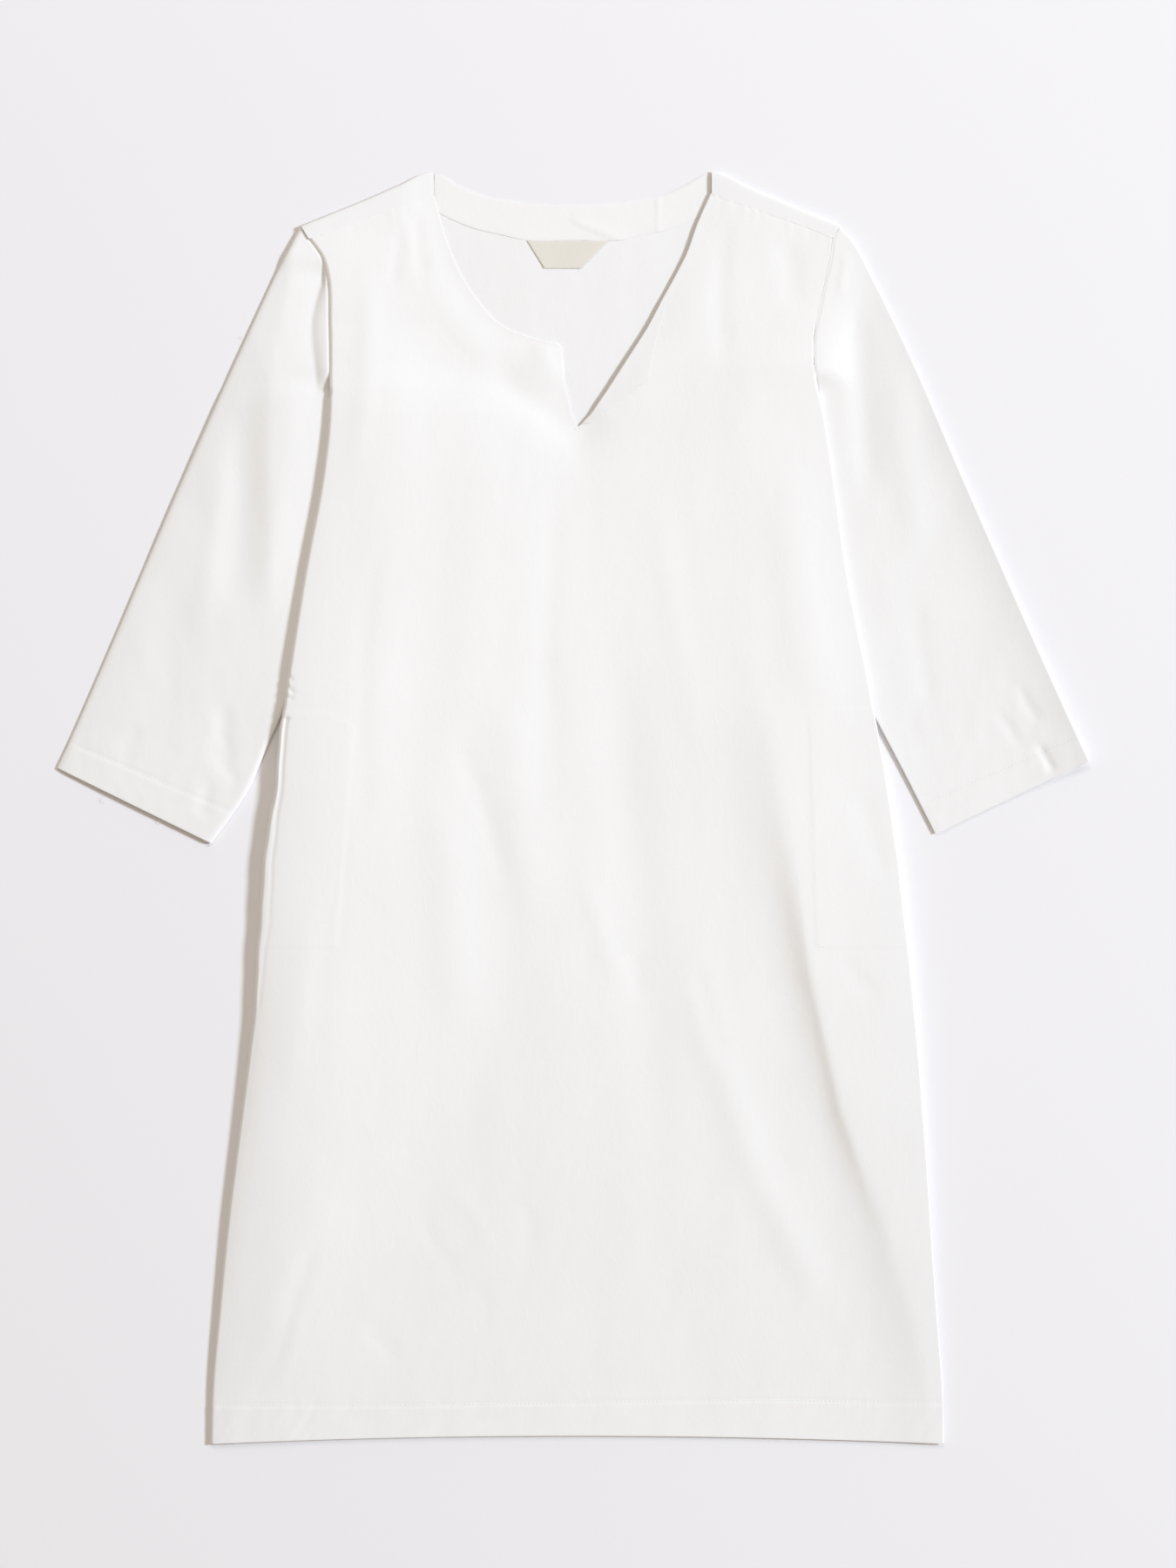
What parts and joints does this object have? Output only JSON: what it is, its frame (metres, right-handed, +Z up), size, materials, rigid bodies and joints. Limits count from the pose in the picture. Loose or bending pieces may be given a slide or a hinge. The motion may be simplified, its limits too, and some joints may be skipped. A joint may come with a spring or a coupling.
{
  "type": "kurta tunic",
  "caption": "Long A-line cotton tunic laid flat, with long tube sleeves, a round neck with a front slit, side pockets and a plain hem.",
  "frame": {"origin": "middle of the laid-out garment's box, on the surface that it rests on", "axes": "+Z up off the surface and out of the front panel, +Y from hem to neck, +X towards the garment's left sleeve"},
  "size_m": [0.7472, 0.9208, 0.0122],
  "materials": {
    "white_cotton": "fine plain weave, matt, slightly crumpled",
    "white_cotton_inside": "the wrong side of the same fine plain weave, matt",
    "label_tape": "close cream tape, satin weave"
  },
  "bodies": {
    "root": {"front_panel": "white_cotton", "back_panel": "white_cotton", "left_sleeve": "white_cotton", "right_sleeve": "white_cotton", "back_neck_facing": "white_cotton_inside", "front_neck_facing": "white_cotton_inside", "left_pocket_bag": "white_cotton_inside", "right_pocket_bag": "white_cotton_inside", "neck_label": "label_tape"}
  },
  "joints": []
}
